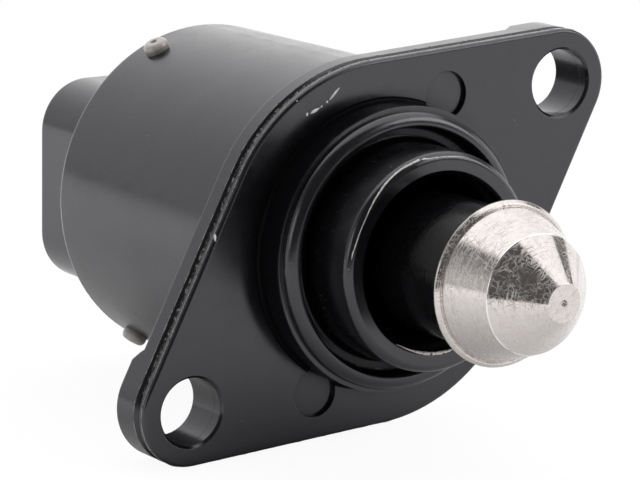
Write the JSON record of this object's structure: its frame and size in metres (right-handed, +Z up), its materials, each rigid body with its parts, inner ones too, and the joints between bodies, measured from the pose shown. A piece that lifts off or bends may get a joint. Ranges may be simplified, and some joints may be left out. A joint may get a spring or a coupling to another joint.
{
  "type": "idle air control valve",
  "caption": "Stepper-driven idle air control valve: a conical metal pintle on a screw-driven sleeve, in a black moulded body with a tilted diamond flange and a plug socket.",
  "frame": {"origin": "the point where the valve's axis crosses the flange's mounting face", "axes": "+X along the valve's axis towards the pintle's tip; +Z up, square to the broad sides of the connector shroud, on the side of its latch; +Y to the right seen from the pintle's tip, with +Z up"},
  "size_m": [0.0706, 0.0522, 0.038],
  "materials": {
    "black_moulding": "moulded glass-filled nylon, satin",
    "sleeve_moulding": "moulded, satin",
    "bobbin_moulding": "moulded, natural",
    "copper_winding": "enamelled copper wire",
    "plated_steel": "drawn and zinc plated",
    "bearing_steel": "ground and polished",
    "cage_moulding": "moulded, natural",
    "sintered_bronze": "sintered, oil filled",
    "ferrite_magnet": "bonded ferrite, ground",
    "hub_moulding": "moulded, natural",
    "screw_steel": "rolled thread, oiled",
    "turned_metal": "turned, fine scratches",
    "spring_wire": "drawn wire",
    "tinned_brass": "stamped, tin plated"
  },
  "bodies": {
    "housing": {"housing": "black_moulding", "front_cover": "black_moulding", "front_stator_cup": "plated_steel", "front_stator_plate": "plated_steel", "rear_stator_cup": "plated_steel", "rear_stator_plate": "plated_steel", "front_bobbin": "bobbin_moulding", "rear_bobbin": "bobbin_moulding", "front_coil": "copper_winding", "rear_coil": "copper_winding", "bearing_outer_race": "bearing_steel", "rear_bush": "sintered_bronze", "spring_seat": "plated_steel", "return_spring": "spring_wire", "terminal_1": "tinned_brass", "terminal_2": "tinned_brass", "terminal_3": "tinned_brass", "terminal_4": "tinned_brass"},
    "rotor": {"rotor_magnet": "ferrite_magnet", "rotor_hub": "hub_moulding", "bearing_inner_race": "bearing_steel"},
    "ball_set": {"bearing_balls": "bearing_steel", "ball_cage": "cage_moulding"},
    "pintle": {"lead_screw": "screw_steel", "plunger_sleeve": "sleeve_moulding", "pintle_cone": "turned_metal"}
  },
  "joints": [
    {"name": "rotor_spin", "type": "hinge", "parent": "housing", "child": "rotor", "pos_m": [0, 0, 0], "axis": [1, 0, 0], "range_deg": [-361, 3061]},
    {"name": "pintle_slide", "type": "slide", "parent": "housing", "child": "pintle", "axis": [1, 0, 0], "range_m": [-0.0085, 0.001], "deforming": ["return_spring"]},
    {"name": "ball_set_spin", "type": "hinge", "parent": "housing", "child": "ball_set", "pos_m": [0, 0, 0], "axis": [1, 0, 0], "range_deg": [-149, 1263]}
  ],
  "couplings": [
    {"joint": "rotor_spin", "follows": "pintle_slide", "rad_per_m": -6283.2},
    {"joint": "ball_set_spin", "follows": "pintle_slide", "rad_per_m": -2591.8}
  ]
}
